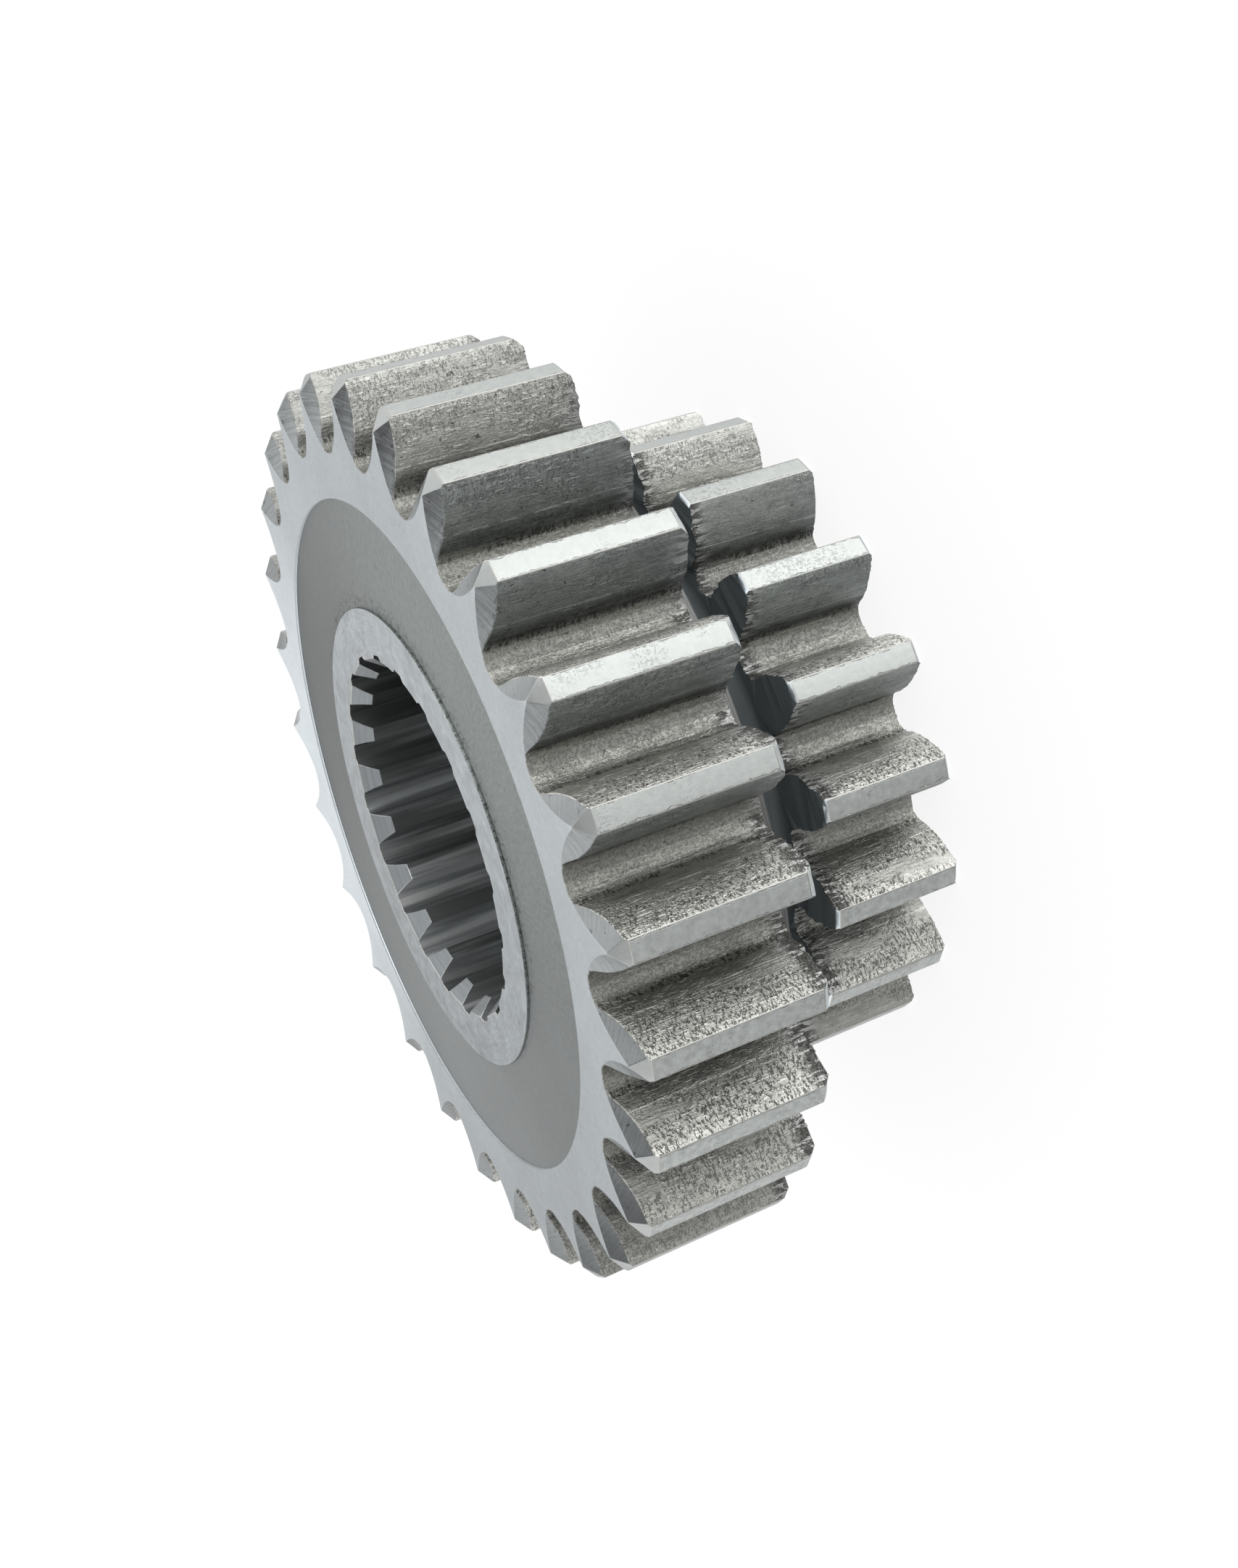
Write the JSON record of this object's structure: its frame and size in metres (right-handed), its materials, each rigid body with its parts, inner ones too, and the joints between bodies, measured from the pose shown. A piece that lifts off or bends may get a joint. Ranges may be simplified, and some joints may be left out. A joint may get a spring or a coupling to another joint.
{
  "type": "power take-off gear",
  "caption": "Sliding power take-off gear: a large and a small spur rim on one splined hub, with a shift-fork groove between them and pointed tooth ends on the large rim.",
  "frame": {"origin": "on the gear's axis, in the end face of the small rim that it stands on", "axes": "+Z along the axis, out of the recessed front face of the large rim; +X through the middle of one tooth of the large rim"},
  "size_m": [0.1012, 0.1014, 0.0444],
  "materials": {
    "steel": "turned and milled faces, satin, with hardened grey tooth flanks"
  },
  "bodies": {
    "root": {"pto_gear": "steel"}
  },
  "joints": []
}
